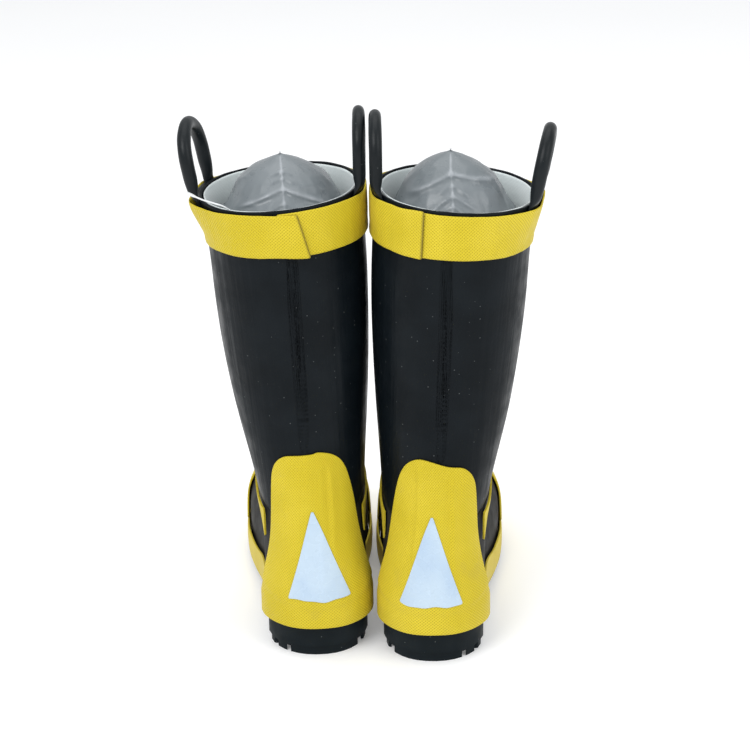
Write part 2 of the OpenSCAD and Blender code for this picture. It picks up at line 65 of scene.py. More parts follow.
class Shader:
    """A node material built around one Principled BSDF. u and v are surface distances in mm."""

    def __init__(self, name, color, roughness, **inputs):
        self.material = bpy.data.materials.new(name)
        self.material.use_nodes = True
        self.tree = self.material.node_tree
        self.bsdf = self.tree.nodes["Principled BSDF"]
        self.normal = None
        self.set("Base Color", (*color, 1.0))
        self.set("Roughness", roughness)
        for key, value in inputs.items():
            self.set(key.replace("_", " "), value)
        place = self.tree.nodes.new("ShaderNodeTexCoord")
        self.place = place.outputs["Object"]
        uv = self.tree.nodes.new("ShaderNodeUVMap")
        uv.uv_map = "surface"
        split = self.tree.nodes.new("ShaderNodeSeparateXYZ")
        self.tree.links.new(uv.outputs["UV"], split.inputs[0])
        self.u = self.times(split.outputs[0], 1000 / UV_SCALE)
        self.v = self.times(split.outputs[1], 1000 / UV_SCALE)

    def put(self, socket, value):
        """Links a socket to the input, or sets the input to a value."""
        if isinstance(value, bpy.types.NodeSocket):
            self.tree.links.new(value, socket)
        else:
            socket.default_value = value

    def set(self, key, value):
        self.put(self.bsdf.inputs[key], value)

    def math(self, operation, a, b=0.0):
        node = self.tree.nodes.new("ShaderNodeMath")
        node.operation = operation
        self.put(node.inputs[0], a)
        self.put(node.inputs[1], b)
        return node.outputs[0]

    def times(self, a, b):
        return self.math("MULTIPLY", a, b)

    def vector(self, x, y, z=0.0):
        node = self.tree.nodes.new("ShaderNodeCombineXYZ")
        for socket, value in zip(node.inputs, (x, y, z)):
            self.put(socket, value)
        return node.outputs[0]

    def noise(self, scale, detail=2.0, vector=None):
        """Noise over the object's own coordinates in metres, or over another vector."""
        node = self.tree.nodes.new("ShaderNodeTexNoise")
        node.inputs["Scale"].default_value = scale
        node.inputs["Detail"].default_value = detail
        self.put(node.inputs["Vector"], vector or self.place)
        return node.outputs["Fac"]

    def cells(self, scale):
        """Distance to the nearest cell point, and a random value for the cell."""
        node = self.tree.nodes.new("ShaderNodeTexVoronoi")
        node.inputs["Scale"].default_value = scale
        self.put(node.inputs["Vector"], self.place)
        split = self.tree.nodes.new("ShaderNodeSeparateColor")
        self.tree.links.new(node.outputs["Color"], split.inputs[0])
        return node.outputs["Distance"], split.outputs[0]

    def spread(self, value, low, high, to_low=0.0, to_high=1.0):
        """A smooth step from to_low at the value low to to_high at the value high."""
        node = self.tree.nodes.new("ShaderNodeMapRange")
        node.interpolation_type = "SMOOTHSTEP"
        for key, item in zip(
            ("Value", "From Min", "From Max", "To Min", "To Max"),
            (value, low, high, to_low, to_high),
        ):
            self.put(node.inputs[key], item)
        return node.outputs["Result"]

    def mix(self, factor, a, b):
        """A colour between a and b. Each is a socket or three numbers."""
        node = self.tree.nodes.new("ShaderNodeMix")
        node.data_type = "RGBA"
        self.put(node.inputs[0], factor)
        first_color, second_color, color_result = node.inputs[6], node.inputs[7], node.outputs[2]
        for socket, color in ((first_color, a), (second_color, b)):
            self.put(socket, color if isinstance(color, bpy.types.NodeSocket) else (*color, 1))
        return color_result

    def attribute(self, name):
        node = self.tree.nodes.new("ShaderNodeAttribute")
        node.attribute_name = name
        return node.outputs["Fac"]

    def bump(self, height, distance, strength=1.0):
        """Adds a bump layer. Height is 0 to 1 and distance is its depth in mm."""
        node = self.tree.nodes.new("ShaderNodeBump")
        node.inputs["Strength"].default_value = strength
        node.inputs["Distance"].default_value = distance * MM
        self.put(node.inputs["Height"], height)
        if self.normal:
            self.tree.links.new(self.normal, node.inputs["Normal"])
        self.normal = node.outputs["Normal"]
        self.set("Normal", self.normal)

    def wave(self, distance, pitch, shift=0.0):
        """A 0 to 1 sine wave over a distance in millimetres."""
        turns = self.math("MULTIPLY_ADD", distance, 2 * math.pi / pitch)
        turns.node.inputs[2].default_value = shift
        height = self.math("MULTIPLY_ADD", self.math("SINE", turns), 0.5)
        height.node.inputs[2].default_value = 0.5
        return height

    def stretched(self, u_scale, v_scale, detail):
        """Noise over the surface, stretched along the coordinate with the smaller scale."""
        place = self.vector(self.times(self.u, u_scale), self.times(self.v, v_scale))
        return self.noise(1.0, detail, place)

    def along(self, angle_deg):
        """Distance in millimetres across ribs that rise to the right at an angle."""
        angle = math.radians(angle_deg)
        a = self.times(self.u, math.sin(angle))
        b = self.times(self.v, -math.cos(angle))
        return self.math("ADD", a, b)


DUST = (0.12, 0.13, 0.13)


def black_rubber(name, color, roughness, dust=0.5, streaks=True, shine=0.10):
    """Satin calendered rubber with a soft bloom, fine specks of dust and faint draw lines."""
    s = Shader(name, color, roughness, Specular_IOR_Level=shine)
    bloom = s.spread(s.noise(28, 3), 0.35, 0.75)
    grain = s.noise(620, 2)
    distance, cell = s.cells(260)
    speck_size = s.times(s.spread(cell, 0.62, 1.0), 0.13)
    speck = s.math("LESS_THAN", distance, speck_size)
    bloomed = tuple(c * 1.7 + 0.002 for c in color)
    base = s.mix(s.times(bloom, 0.55), color, bloomed)
    base = s.mix(s.times(speck, dust), base, DUST)
    s.set("Base Color", base)
    s.set("Roughness", s.spread(s.noise(75, 3), 0.3, 0.7, roughness - 0.06, roughness + 0.1))
    s.bump(grain, 0.10, 0.7)
    s.bump(s.noise(170, 2), 0.16, 0.6)
    if streaks:
        s.bump(s.stretched(0.16, 0.006, 3), 0.9, 0.6)
    return s.material


RIB_PITCH = 1.75  # distance between the fabric's ribs, in millimetres
RIB_ANGLE = 44  # how steeply they rise, in degrees
STRIPE_PITCH = 74  # how often the leading direction of the ribs comes back, in millimetres
GRIME = (0.42, 0.31, 0.06)
# Painted shadow: the dark yellow laid on the band's lap end
LAP_EDGE_SHADE = (0.16, 0.12, 0.015)


def woven_yellow(name, color, rib_depth, valley_shade_strength):
    """Fabric-faced rubber: crossing diagonal ribs, one of them stronger from stripe to stripe."""
    s = Shader(name, color, 0.52, Specular_IOR_Level=0.22, Sheen_Weight=0.04)
    right = s.wave(s.along(RIB_ANGLE), RIB_PITCH)
    left = s.wave(s.along(-RIB_ANGLE), RIB_PITCH)
    share = s.spread(s.wave(s.u, STRIPE_PITCH, 0.9), 0.3, 0.7, 0.28, 0.72)
    rest = s.math("SUBTRACT", 1.0, share)
    main = s.math("ADD", s.times(right, share), s.times(left, rest))
    cross = s.math("ADD", s.times(left, share), s.times(right, rest))
    rib = s.math("POWER", main, 0.75)
    height = s.times(rib, s.spread(cross, 0.0, 0.7, 0.72, 1.0))
    worn = s.spread(s.noise(19, 3), 0.36, 0.7)
    light = tuple(min(1.0, c * 1.10 + 0.012) for c in color)
    # Painted shade: the valleys between the ribs are darkened
    valley_shade = (color[0] * 0.62, color[1] * 0.56, color[2] * 0.42)
    tint = s.mix(worn, color, light)
    tint = s.mix(s.times(s.spread(height, 0.5, 0.08), valley_shade_strength), tint, valley_shade)
    dirt = s.spread(s.noise(46, 4), 0.60, 0.74)
    tint = s.mix(s.times(dirt, 0.16), tint, GRIME)
    # Painted shadow at the band's lap end, where its points are marked
    s.set("Base Color", s.mix(s.attribute("lap_shade"), tint, LAP_EDGE_SHADE))
    s.set("Roughness", s.spread(height, 0.0, 1.0, 0.66, 0.46))
    s.bump(height, rib_depth, 0.9)
    s.bump(s.noise(900, 2), 0.06, 0.6)
    s.bump(s.noise(60, 2), 0.5, 0.35)
    return s.material


CELL_ANGLE = 32  # the reflective film's grid, in degrees
CELL_PITCH = 1.1  # and millimetres


def reflective_sheet(name):
    """Pale retroreflective film: a grid of tiny cells under a clear face."""
    s = Shader(
        name, (0.40, 0.53, 0.68), 0.24,
        Specular_IOR_Level=0.6, Coat_Weight=0.35, Coat_Roughness=0.18)
    grid = s.math("MAXIMUM", s.wave(s.along(CELL_ANGLE), CELL_PITCH),
                  s.wave(s.along(-CELL_ANGLE), CELL_PITCH))
    cloud = s.spread(s.noise(34, 2), 0.3, 0.7)
    tint = s.mix(cloud, (0.385, 0.51, 0.66), (0.46, 0.58, 0.70))
    tint = s.mix(s.times(s.spread(grid, 0.90, 1.0), 0.22), tint, (0.58, 0.68, 0.77))
    s.set("Base Color", tint)
    s.set("Roughness", s.spread(s.noise(120, 2), 0.3, 0.7, 0.2, 0.34))
    s.bump(grid, 0.05, 0.6)
    s.bump(s.noise(50, 2), 0.4, 0.35)
    return s.material


def canvas(name):
    """Plain-woven cotton lining with a little soiling."""
    s = Shader(name, (0.60, 0.65, 0.64), 0.9, Sheen_Weight=0.25)
    weave = s.times(s.wave(s.u, 1.0), s.wave(s.v, 1.0))
    slub = s.stretched(0.9, 0.07, 2)
    tint = s.mix(s.spread(s.noise(22, 3), 0.3, 0.7), (0.70, 0.77, 0.77), (0.80, 0.86, 0.86))
    # Painted shade: the grooves between the threads are darkened
    tint = s.mix(s.times(s.spread(weave, 0.25, 0.0), 0.35), tint, (0.36, 0.40, 0.40))
    tint = s.mix(s.times(s.spread(slub, 0.55, 0.7), 0.3), tint, (0.78, 0.80, 0.78))
    s.set("Base Color", tint)
    s.bump(weave, 0.18, 0.8)
    s.bump(slub, 0.15, 0.6)
    return s.material


def bag_film(name):
    """Frosted grey film. Its folds, seam and creases are painted a lighter, milky grey: a painted highlight."""
    s = Shader(
        name, (0.21, 0.235, 0.25), 0.3,
        Specular_IOR_Level=0.5, Coat_Weight=0.25, Coat_Roughness=0.2)
    fold = s.attribute("fold")
    haze = s.spread(s.noise(26, 4), 0.32, 0.72)
    tint = s.mix(haze, (0.172, 0.197, 0.211), (0.205, 0.230, 0.246))
    # Painted highlight: the marked folds, seam and creases turn lighter
    tint = s.mix(s.spread(fold, 0.15, 1.0, 0.0, 0.75), tint, (0.44, 0.47, 0.50))
    s.set("Base Color", tint)
    s.set("Roughness", s.spread(s.noise(90, 3), 0.3, 0.7, 0.24, 0.42))
    s.bump(s.noise(85, 3), 0.45, 0.5)
    s.bump(s.noise(320, 2), 0.08, 0.5)
    glow = s.tree.nodes.new("ShaderNodeBsdfTranslucent")
    glow.inputs["Color"].default_value = (0.62, 0.64, 0.67, 1)
    blend = s.tree.nodes.new("ShaderNodeMixShader")
    blend.inputs[0].default_value = 0.15
    out = s.tree.nodes["Material Output"]
    s.tree.links.new(s.bsdf.outputs[0], blend.inputs[1])
    s.tree.links.new(glow.outputs[0], blend.inputs[2])
    s.tree.links.new(blend.outputs[0], out.inputs["Surface"])
    return s.material


def clear_plastic(name):
    """Milky plastic with a fine grain."""
    s = Shader(name, (0.70, 0.72, 0.73), 0.28, Specular_IOR_Level=0.6)
    s.set("Base Color", s.mix(s.noise(400, 2), (0.62, 0.64, 0.65), (0.82, 0.84, 0.85)))
    s.bump(s.noise(700, 2), 0.1, 0.6)
    return s.material


def steel(name):
    """Bare sheet steel with fine brushing along the foot."""
    s = Shader(name, (0.46, 0.47, 0.48), 0.34, Metallic=1.0)
    split = s.tree.nodes.new("ShaderNodeSeparateXYZ")
    s.tree.links.new(s.place, split.inputs[0])
    across, along = split.outputs[0], split.outputs[1]
    place = s.vector(s.times(across, 2600), s.times(along, 60))
    brush = s.noise(1.0, 3, place)
    s.set("Roughness", s.spread(brush, 0.3, 0.7, 0.26, 0.44))
    s.set("Base Color", s.mix(brush, (0.40, 0.41, 0.42), (0.55, 0.56, 0.57)))
    s.bump(brush, 0.03, 0.7)
    return s.material


def fibre(name, dark, light, scale):
    """Felt or fibre board: short tangled fibres and a mottled colour."""
    s = Shader(name, dark, 0.92, Sheen_Weight=0.2)
    tangle = s.noise(scale, 5)
    mottle = s.noise(scale * 0.08, 3)
    tint = s.mix(s.spread(tangle, 0.35, 0.65), dark, light)
    worn = tuple(c * 0.8 for c in dark)
    s.set("Base Color", s.mix(s.times(mottle, 0.4), tint, worn))
    s.bump(tangle, 0.25, 0.8)
    return s.material


# The material of each slot in the record
M = {
    "black_rubber": black_rubber("shaft_rubber", (0.0032, 0.0052, 0.0070), 0.38),
    # Painted light: the foot's rubber gets a lighter, warmer grey than the shaft's, for the light from above and
    # from the floor
    "vamp_rubber": black_rubber(
        "foot_rubber_painted_light", (0.019, 0.0185, 0.0175), 0.6, dust=0.3, streaks=False),
    "sole_rubber": black_rubber(
        "tread_rubber", (0.0050, 0.0085, 0.0108), 0.5, dust=0.55, streaks=False),
    "loop_rubber": black_rubber(
        "cord_rubber", (0.0048, 0.0072, 0.0088), 0.36, dust=0.35, streaks=False, shine=0.22),
    "yellow_fabric_rubber": woven_yellow("ribbed_yellow", (0.595, 0.470, 0.016), 0.34, 0.75),
    "yellow_rubber": woven_yellow("foot_yellow", (0.56, 0.435, 0.018), 0.08, 0.3),
    "reflective_sheet": reflective_sheet("reflective_film"),
    "canvas_lining": canvas("canvas_weave"),
    "insole_felt": fibre("felt", (0.10, 0.105, 0.115), (0.22, 0.23, 0.25), 900),
    "fibre_board": fibre("board", (0.23, 0.15, 0.08), (0.42, 0.30, 0.17), 600),
    "steel": steel("sheet_steel"),
    "bag_film": bag_film("grey_film"),
    "clear_tie": clear_plastic("tie_plastic"),
}
SLOT = {p["node"]: p["material_slot"] for p in RECORD["subparts"]}


# ---------- geometry helpers


def smooth(x):
    """A smooth step from 0 at 0 to 1 at 1."""
    x = np.clip(x, 0, 1)
    return x * x * (3 - 2 * x)


def bell(x):
    """A bell curve, 1 at 0 and near 0 from 2 on."""
    return np.exp(-np.square(x))


def tree_of(mesh):
    """A mesh made ready for ray casts."""
    return BVHTree.FromPolygons([v.co for v in mesh.vertices], [p.vertices for p in mesh.polygons])


def vertex_normals(obj):
    normals = np.empty(len(obj.data.vertices) * 3)
    obj.data.vertices.foreach_get("normal", normals)
    return normals.reshape(-1, 3)


class Boot:
    """One boot's own frame: x outward, y forward, z up, from the middle of its heel tread."""

    def __init__(self, side):
        self.side = side
        self.sign = 1 if side == "right" else -1
        forward = Vector((math.sin(TOE_OUT) * self.sign, math.cos(TOE_OUT), 0))
        outward = Vector((forward.y, -forward.x, 0)) * self.sign
        self.axes = np.array([outward, forward, (0, 0, 1)], float)
        mount = next(m for m in RECORD["mounts"] if m["name"] == f"{side}_heel_tread")
        self.origin = np.array(mount["pos_m"], float)
        self.body = f"{side}_boot"

    def local(self, co):
        return (np.asarray(co, float) - self.origin) @ self.axes.T

    def world(self, co):
        return np.asarray(co, float) @ self.axes + self.origin

    def node(self, name):
        return f"{self.side}_{name}"

    def vertices(self, name):
        mesh = NODES[self.node(name)].data
        co = np.empty(len(mesh.vertices) * 3)
        mesh.vertices.foreach_get("co", co)
        return self.local(co.reshape(-1, 3))

    def box(self, name):
        co = self.vertices(name)
        return co.min(0), co.max(0)

    def tree(self, name):
        return tree_of(NODES[self.node(name)].data)

    def cast(self, tree, start, direction):
        """The first hit of a ray, in the boot's frame, or None."""
        d = Vector(np.asarray(direction, float) @ self.axes)
        hit = tree.ray_cast(Vector(self.world(start)), d)[0]
        return None if hit is None else self.local(np.array(hit))


def link(name, mesh):
    obj = bpy.data.objects.new(name, mesh)
    bpy.context.scene.collection.objects.link(obj)
    return obj


def make(name, verts, faces, levels=0, crease_angle=None, crease=0.5):
    """A mesh object with outward faces, smooth shading and an applied subdivision."""
    mesh = bpy.data.meshes.new(name)
    mesh.from_pydata([tuple(v) for v in verts], [], faces)
    bm = bmesh.new()
    bm.from_mesh(mesh)
    bmesh.ops.recalc_face_normals(bm, faces=bm.faces)
    if crease_angle is not None:
        layer = bm.edges.layers.float.new("crease_edge")
        for edge in bm.edges:
            if len(edge.link_faces) == 2 and edge.calc_face_angle() > crease_angle:
                edge[layer] = crease
    bm.to_mesh(mesh)
    bm.free()
    obj = link(name, mesh)
    if levels:
        subdivide(obj, levels)
    obj.data.shade_smooth()
    return obj


def subdivide(obj, levels):
    """Applies smooth subdivision. Each level cuts every face in four."""
    modifier = obj.modifiers.new("subdivide", "SUBSURF")
    modifier.levels = modifier.render_levels = levels
    apply_modifiers(obj)


def apply_modifiers(obj):
    bpy.context.view_layer.update()
    graph = bpy.context.evaluated_depsgraph_get()
    mesh = bpy.data.meshes.new_from_object(obj.evaluated_get(graph))
    obj.modifiers.clear()
    obj.data = mesh


WELD = 1e-6  # vertices nearer than this are one vertex, in metres
CREASE_ANGLE = 0.9  # edges bent more than this stay crisp, in radians


def cad_copy(boot, node):
    """A CAD node's mesh with its vertices welded."""
    bm = bmesh.new()
    bm.from_mesh(NODES[boot.node(node)].data)
    bmesh.ops.remove_doubles(bm, verts=bm.verts, dist=WELD)
    return bm


def take_lists(bm):
    """The vertices and faces of an edited mesh, which is freed."""
    bm.verts.index_update()
    verts = [v.co.copy() for v in bm.verts]
    faces = [[v.index for v in f.verts] for f in bm.faces]
    bm.free()
    return verts, faces


def cage(boot, node, levels, crease):
    """A smooth copy of a CAD node: its triangles become quads again and are subdivided."""
    bm = cad_copy(boot, node)
    bmesh.ops.join_triangles(
        bm, faces=bm.faces,
        angle_face_threshold=1.2, angle_shape_threshold=1.6, topology_influence=1.0)
    verts, faces = take_lists(bm)
    return make(f"{boot.side}_{node}_skin", verts, faces, levels, CREASE_ANGLE, crease)


def get_points(obj):
    co = np.empty(len(obj.data.vertices) * 3)
    obj.data.vertices.foreach_get("co", co)
    return co.reshape(-1, 3)


def set_points(obj, co):
    obj.data.vertices.foreach_set("co", np.asarray(co, np.float32).ravel())
    obj.data.update()


def displace(boot, obj, amount):
    """Moves each vertex along its normal by amount(local points), in millimetres."""
    co = get_points(obj)
    set_points(obj, co + vertex_normals(obj) * amount(boot.local(co))[:, None] * MM)


def ripple(points, size, seed=0.0):
    """Smooth noise from -1 to 1 at each point. Size is the width of its features in metres."""
    shift = Vector((seed, seed * 1.7, -seed))
    return np.array([noise.noise(Vector(p) / size + shift) for p in points])


def surface_uv(boot, obj, flatten):
    """Writes the "surface" UV map. flatten(local points) gives an angle, a radius and a height.

    A face across the angle's jump takes the turn of its first corner.
    """
    co = boot.local(get_points(obj))
    angle, radius, height = flatten(co)
    mesh = obj.data
    layer = mesh.uv_layers.get("surface") or mesh.uv_layers.new(name="surface")
    loops = np.empty(len(mesh.loops), int)
    mesh.loops.foreach_get("vertex_index", loops)
    starts = np.empty(len(mesh.polygons), int)
    counts = np.empty(len(mesh.polygons), int)
    mesh.polygons.foreach_get("loop_start", starts)
    mesh.polygons.foreach_get("loop_total", counts)
    first = np.repeat(angle[loops][starts], counts)
    order = np.concatenate([np.arange(s, s + c) for s, c in zip(starts, counts)])
    turned = angle[loops][order]
    turned = np.where(turned - first > math.pi, turned - 2 * math.pi, turned)
    turned = np.where(turned - first < -math.pi, turned + 2 * math.pi, turned)
    uv = np.empty((len(loops), 2))
    uv[order, 0] = turned * radius
    uv[:, 1] = height[loops]
    layer.data.foreach_set("uv", (uv * UV_SCALE).astype(np.float32).ravel())


def dress(boot, obj, node):
    """Gives a piece its material and hides the CAD node it stands for."""
    slot = SLOT[boot.node(node)]
    obj.data.materials.clear()
    obj.data.materials.append(M[slot])
    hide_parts(boot.node(node))


def finish_piece(boot, obj, node):
    """Dresses a piece that belongs to the boot itself."""
    dress(boot, obj, node)
    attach(obj, boot.body)


def grid_faces(rows, columns, loop=False, base=0):
    """Quads between the rows of a grid of points. A looped grid also joins its last column."""
    faces = []
    for r in range(rows - 1):
        for c in range(columns if loop else columns - 1):
            k = (c + 1) % columns
            this_row, next_row = base + r * columns, base + (r + 1) * columns
            faces.append([this_row + c, this_row + k, next_row + k, next_row + c])
    return faces


# ---------- leg


LEG_RADIUS = 0.058
LINING_RADIUS = 0.054
BAG_RADIUS = 0.045
OUTSIDE = 0.12  # a ray toward the leg's middle starts this far from it, clear of the boot


def leg_frame(boot):
    """Two heights on the shaft, near its ends, and the leg's centre at each of them."""
    co = boot.vertices("shaft")
    low, high = co[:, 2].min(), co[:, 2].max()
    waist_height = low + 0.05
    top = co[co[:, 2] > high - 0.012]
    waist = co[np.abs(co[:, 2] - waist_height) < 0.02]
    centres = [(c.min(0) + c.max(0))[:2] / 2 for c in (waist, top)]
    return waist_height, high - 0.006, centres[0], centres[1]


def leg_flatten(boot, radius=LEG_RADIUS):
    """Unrolls the leg: the angle around its leaning axis, a fixed radius and the height."""
    z0, z1, c0, c1 = leg_frame(boot)

    def flatten(co):
        t = np.clip((co[:, 2] - z0) / (z1 - z0), -0.5, 1.2)[:, None]
        d = co[:, :2] - (c0 + (c1 - c0) * t)
        return np.arctan2(d[:, 0] * boot.sign, -d[:, 1]), radius, co[:, 2]

    return flatten


SEAM_TUCK = 7 * MM  # how far the back seam runs on under the band and under the counter
SEAM_HEIGHT = 0.3 * MM
SEAM_SINK = 0.05 * MM  # how far its feathered sides dip below the shaft's surface


def build_leg(boot):
    """The shaft with its soft dents and draw lines, the lining, and the seam up the back."""
    shaft = cage(boot, "shaft", 3, 0.45)

    def relief(co):
        angle = leg_flatten(boot)(co)[0]
        x, y = np.cos(angle) * 0.05, np.sin(angle) * 0.05
        dents = ripple(np.stack([x, y, co[:, 2] * 0.45], 1), 0.034, 3.1 + boot.sign)
        lines = ripple(np.stack([x, y, co[:, 2] * 0.04], 1), 0.006, 8.2)
        return 0.55 * dents + 0.16 * lines

    displace(boot, shaft, relief)
    surface_uv(boot, shaft, leg_flatten(boot))
    finish_piece(boot, shaft, "shaft")

    lining = cage(boot, "lining", 2, 0.45)
    displace(boot, lining, lambda co: 0.25 * ripple(co, 0.02, 5.0))
    surface_uv(boot, lining, leg_flatten(boot, LINING_RADIUS))
    finish_piece(boot, lining, "lining")

    # The seam is a low swelling on the shaft, and its ends are hidden
    seam = cage(boot, "back_seam", 3, 0.2)
    skin = tree_of(shaft.data)
    co = boot.local(get_points(seam))
    low, high = co[:, 2].min(), co[:, 2].max()
    half = (co[:, 0].max() - co[:, 0].min()) / 2
    middle = (co[:, 0].max() + co[:, 0].min()) / 2
    for i, (x, _, z) in enumerate(co):
        z = low - SEAM_TUCK + (z - low) * (high - low + 2 * SEAM_TUCK) / (high - low)
        found = boot.cast(skin, (x, -0.2, z), (0, 1, 0))
        feather = float(smooth((1 - abs(x - middle) / half) / 0.75))
        swell = SEAM_HEIGHT * feather - SEAM_SINK
        if found is not None:
            co[i] = (x, found[1] - swell, z)
    set_points(seam, boot.world(co))
    surface_uv(boot, seam, leg_flatten(boot))
    finish_piece(boot, seam, "back_seam")


# ---------- top band


def hinge_line(boot, which):
    """The measures of a loop, taken from its joint and its CAD mesh.

    They are the hinge point, the directions along the hinge, up the loop and outward, half the
    distance between the legs, the cord's radius, and the length of the straight legs.
    """
    joint = JOINTS[f"{boot.side}_{which}_loop_bend"]
    hinge = boot.local(np.array(joint["pos_m"]))
    h = np.array(joint["axis"]) @ boot.axes.T
    h /= np.linalg.norm(h)
    co = boot.vertices(f"{which}_loop") - hinge
    crown = co[co[:, 2] > co[:, 2].max() - 0.6 * MM].mean(0)
    up = crown - h * (crown @ h)
    up /= np.linalg.norm(up)
    out = np.cross(h, up)
    if (out[0] > 0) != (which == "outer"):
        out = -out
    half_width = (co @ h).max()
    cord = ((co @ out).max() - (co @ out).min()) / 2
    straight = (co @ up).max() - half_width
    return hinge, h, up, out, half_width - cord, cord, straight


# How far the band's upper edge flares out over each foot of a loop, in millimetres
FOOT_FLARE = {
    ("left", "outer"): 4.4, ("left", "inner"): 1.7,
    ("right", "outer"): 2.4, ("right", "inner"): 1.7,
}
EDGE_SLACK = 2 * MM  # the band's edges are looked for this far beyond the range given


def band_edges(boot, tree, centre, angle, z_low, z_high):
    """Lower and upper height at which a ray toward the leg's middle meets the CAD band."""
    direction = np.array([math.cos(angle), math.sin(angle), 0.0])

    def hit(z):
        start = np.array([centre[0], centre[1], z]) + direction * OUTSIDE
        found = boot.cast(tree, start, -direction)
        return found is not None and (found[:2] - centre) @ direction[:2] > 0

    middle = (z_low + z_high) / 2
    edges = []
    for end in (z_low - EDGE_SLACK, z_high + EDGE_SLACK):
        inside, outside = middle, end
        for _halving in range(12):
            probe = (inside + outside) / 2
            if hit(probe):
                inside = probe
            else:
                outside = probe
        edges.append(inside)
    return edges


# Each band's lap, in millimetres: its place at the upper edge, from the back toward the inner side,
# how far its lower end lies further that way, and how far the upper and lower corners slip upward
LAPS = {"left": (9.6, 9.8, -1.5, -1.6), "right": (20.5, 2.5, 1.7, -0.7)}
LAP_LIFT = 1.9  # how far the free end stands off the rim, in millimetres
LAP_SPAN = math.radians(13)  # how far the strip runs on past its own start
BAND_THICK = 1.5
BAND_COLUMNS, BAND_ROWS = 190, 12
EDGE_STEPS = 240  # directions in which the edges of the CAD band are measured
EDGE_REACH = 0.024  # the edges lie within this distance of the band's middle height, in metres
LAP_SHADE_STRENGTH = 0.9  # how dark the painted shadow at the strip's lap end is


def build_band(boot):
    """The yellow band: one strip wound around the rim, its end lying over its start."""
    low, high = boot.box("top_band")
    centre = (low + high)[:2] / 2
    tree = boot.tree("top_band")
    radius = ((high - low)[0] + (high - low)[1]) / 4
    top_side = 1 if boot.side == "left" else -1  # which way the upper layer runs from the lap
    place, lean, slip_high, slip_low = LAPS[boot.side]
    columns, rows = BAND_COLUMNS, BAND_ROWS
    back = math.radians(270)
    lap = back - place * MM / radius
    feet = []
    for which in ("outer", "inner"):
        hinge, h, _, _, half, _, _ = hinge_line(boot, which)
        for end in (-1, 1):
            d = (hinge + h * half * end)[:2] - centre
            feet.append((math.atan2(d[1], d[0]), FOOT_FLARE[boot.side, which]))
    z_mid = (low[2] + high[2]) / 2
    around = [2 * math.pi * i / EDGE_STEPS for i in range(EDGE_STEPS + 1)]
    edges = np.array([
        band_edges(boot, tree, centre, a, z_mid - EDGE_REACH, z_mid + EDGE_REACH) for a in around])
    outer, inner = [], []
    for r in range(rows):
        v = r / (rows - 1)
        for c in range(columns):
            run = (2 * math.pi + LAP_SPAN) * c / (columns - 1)
            a = lap - lean * (1 - v) * MM / radius + top_side * run
            turn = a % (2 * math.pi)
            z_bottom = np.interp(turn, around, edges[:, 0])
            z_top = np.interp(turn, around, edges[:, 1])
            spot = Vector((math.cos(a) * 2.2, math.sin(a) * 2.2, v * 1.3 + boot.sign))
            wobble = noise.noise(spot)
            z = z_bottom + (z_top - z_bottom) * (0.012 + 0.976 * v)
            direction = np.array([math.cos(a), math.sin(a), 0.0])
            start = np.array([*centre, z]) + direction * OUTSIDE
            found = boot.cast(tree, start, -direction)
            reach = (found[:2] - centre) @ direction[:2]
            arc = run * radius / MM
            # The outer layer comes back to the rim between 15 and 31 mm from the lap
            lift = LAP_LIFT * (1 - float(smooth((arc - 15) / 16)))
            flare = 0.0
            for foot, amount in feet:
                away = math.remainder(a - foot, 2 * math.pi) * radius / MM
                flare = max(flare, amount * float(bell(away / 17)))
            flare *= float(smooth((v - 0.15) / 0.75))
            side = abs(math.cos(a)) ** 4
            pinch = -0.5 * side * float(bell((v - 0.2) / 0.14))
            reach += (lift + flare + pinch + 0.35 * wobble) * MM
            edge = 0.55 * wobble * (v - 0.5) * 2
            edge += (slip_high * v + slip_low * (1 - v)) * float(1 - smooth(arc / 26))
            point = np.array([*centre, z + edge * MM]) + direction * reach
            outer.append(point)
            inner.append(point - direction * BAND_THICK * MM)
    total = rows * columns
    faces = grid_faces(rows, columns) + [f[::-1] for f in grid_faces(rows, columns, base=total)]
    rim = [r * columns for r in range(rows)]
    rim += [(rows - 1) * columns + c for c in range(1, columns)]
    rim += [r * columns + columns - 1 for r in range(rows - 2, -1, -1)]
    rim += list(range(columns - 2, 0, -1))
    for i, a in enumerate(rim):
        b = rim[(i + 1) % len(rim)]
        faces.append([a, b, b + total, a + total])
    band = make(f"{boot.side}_rim_band", boot.world(outer + inner), faces)
    # Painted shadow: the end of the outer side and a little more of the inner side, where the strip's two ends
    # overlap, are marked to be painted dark
    lap_shade = band.data.attributes.new("lap_shade", "FLOAT", "POINT")
    lap_shade_points = [c == 0 for c in range(columns)] * rows + [c < 3 for c in range(columns)] * rows
    lap_shade.data.foreach_set("value", [LAP_SHADE_STRENGTH * in_lap_shade for in_lap_shade in lap_shade_points])
    subdivide(band, 1)
    surface_uv(boot, band, lambda co: (
        np.arctan2((co[:, 0] - centre[0]) * boot.sign, -(co[:, 1] - centre[1])), radius, co[:, 2]))
    finish_piece(boot, band, "top_band")


# ---------- heel


HEEL_RADIUS = 0.042


def heel_flatten(boot):
    """Unrolls the heel: the angle around the boot's own upright axis, a radius and the height."""
    def flatten(co):
        return np.arctan2(co[:, 0] * boot.sign, -co[:, 1]), HEEL_RADIUS, co[:, 2]

    return flatten


# Soft upright ridges on each counter: distance from the middle toward +X, depth and width, in mm
HEEL_RIDGES = {
    "left": [(2.0, 0.35, 1.6), (12.5, 0.8, 1.5)],
    "right": [(-15.5, 0.45, 1.3), (18.5, 0.85, 1.5)],
}
# How far each reflector's apex leans outward, in millimetres
REFLECTOR_LEAN = {"left": 1.2, "right": -1.8}
SHEET_THICK = 0.65 * MM
SHEET_STAND = 0.2 * MM  # how far the back of the sheet lies off the counter


